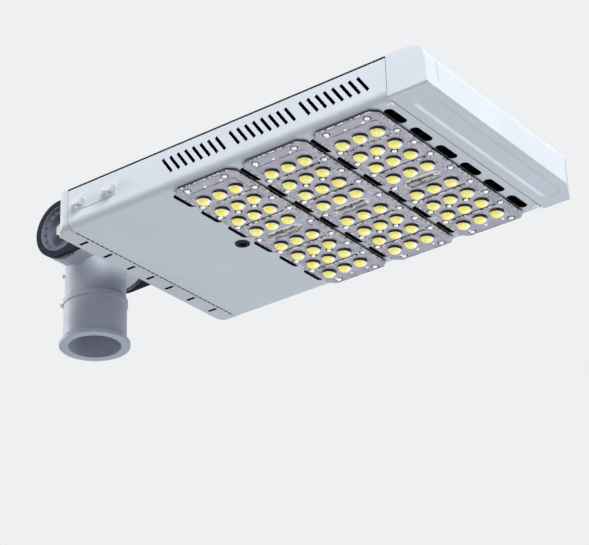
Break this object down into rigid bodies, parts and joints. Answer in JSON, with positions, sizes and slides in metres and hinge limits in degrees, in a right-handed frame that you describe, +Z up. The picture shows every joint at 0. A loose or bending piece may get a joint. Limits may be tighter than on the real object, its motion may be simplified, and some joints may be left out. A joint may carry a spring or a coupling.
{
  "type": "led street light head",
  "caption": "Flat rectangular led street light head with lens modules on its underside, on a toothed tilt joint and a cast adaptor that slips over a round pole.",
  "frame": {"origin": "centre of the pole socket's mouth, on the pole's axis", "axes": "+Z up along the pole's axis, +X from the pole to the front of the head, +Y across the head"},
  "size_m": [0.604, 0.3164, 0.165],
  "materials": {
    "housing_paint": "light blue-grey powder coat, on aluminium",
    "cap_paint": "light blue-grey powder coat on a casting, on aluminium",
    "adaptor_paint": "light blue-grey powder coat on a casting, on aluminium",
    "yoke_paint": "darker grey coat on plate, on aluminium",
    "cup_paint": "dark grey coat on a casting, on aluminium",
    "fastener_steel": "bright stainless",
    "clear_lens": "clear moulded plastic",
    "gasket_rubber": "matt silicone rubber",
    "board_coat": "light solder mask on a metal-cored board",
    "led_phosphor": "yellow phosphor",
    "sink_aluminium": "black anodised extrusion",
    "driver_case": "plain, potted inside",
    "inner_sheet": "plain sheet",
    "frame_steel": "zinc-coated steel",
    "surge_case": "matt black moulding",
    "terminal_plastic": "matt off-white moulding",
    "plug_rubber": "matt black rubber"
  },
  "bodies": {
    "pole_mount": {"pole_adaptor": "adaptor_paint", "set_screws": "fastener_steel"},
    "head": {"bulkhead": "inner_sheet", "clamp_cup_left": "cup_paint", "clamp_cup_right": "cup_paint", "driver_plate": "inner_sheet", "front_end_cap": "cap_paint", "heat_sink_front": "sink_aluminium", "heat_sink_middle": "sink_aluminium", "heat_sink_rear": "sink_aluminium", "housing_tray": "housing_paint", "led_board_front": "board_coat", "led_board_middle": "board_coat", "led_board_rear": "board_coat", "led_chips_front": "led_phosphor", "led_chips_middle": "led_phosphor", "led_chips_rear": "led_phosphor", "led_driver": "driver_case", "lens_front": "clear_lens", "lens_gasket_front": "gasket_rubber", "lens_gasket_middle": "gasket_rubber", "lens_gasket_rear": "gasket_rubber", "lens_middle": "clear_lens", "lens_rear": "clear_lens", "mounting_frame": "frame_steel", "pivot_bolt": "fastener_steel", "pivot_nut": "fastener_steel", "pivot_washers": "fastener_steel", "rear_end_cap": "cap_paint", "service_plug": "plug_rubber", "side_bolts": "fastener_steel", "side_nuts": "fastener_steel", "side_washers": "fastener_steel", "surge_protector": "surge_case", "terminal_block": "terminal_plastic", "top_cover": "housing_paint", "yoke": "yoke_paint", "yoke_bolts": "fastener_steel", "yoke_nuts": "fastener_steel"}
  },
  "joints": [
    {"name": "tilt", "type": "hinge", "parent": "pole_mount", "child": "head", "pos_m": [0, 0, 0.129], "axis": [0, 1, 0], "range_deg": [-90, 15]}
  ]
}
